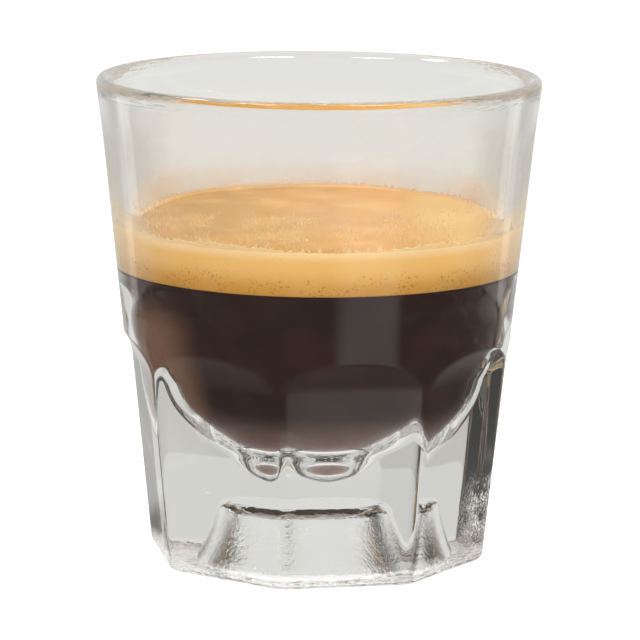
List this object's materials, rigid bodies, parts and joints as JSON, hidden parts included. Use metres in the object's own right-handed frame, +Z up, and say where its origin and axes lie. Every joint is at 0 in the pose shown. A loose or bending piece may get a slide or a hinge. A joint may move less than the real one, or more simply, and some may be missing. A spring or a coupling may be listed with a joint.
{
  "type": "double espresso in a glass",
  "caption": "Double espresso with a thick crema in a heavy pressed rocks glass, round at the rim and octagonal below, with a hollow under its foot.",
  "frame": {"origin": "centre of the glass's foot on the plane it stands on", "axes": "+Z up along the glass's axis; a flat of the octagonal foot faces -Y"},
  "size_m": [0.073, 0.073, 0.08],
  "materials": {
    "clear_glass": "clear fire-polished pressed glass",
    "coffee": "dark liquid, glossy",
    "crema_foam": "fine golden-brown foam, satin"
  },
  "bodies": {
    "root": {"glass": "clear_glass", "espresso": "coffee", "crema": "crema_foam"}
  },
  "joints": []
}
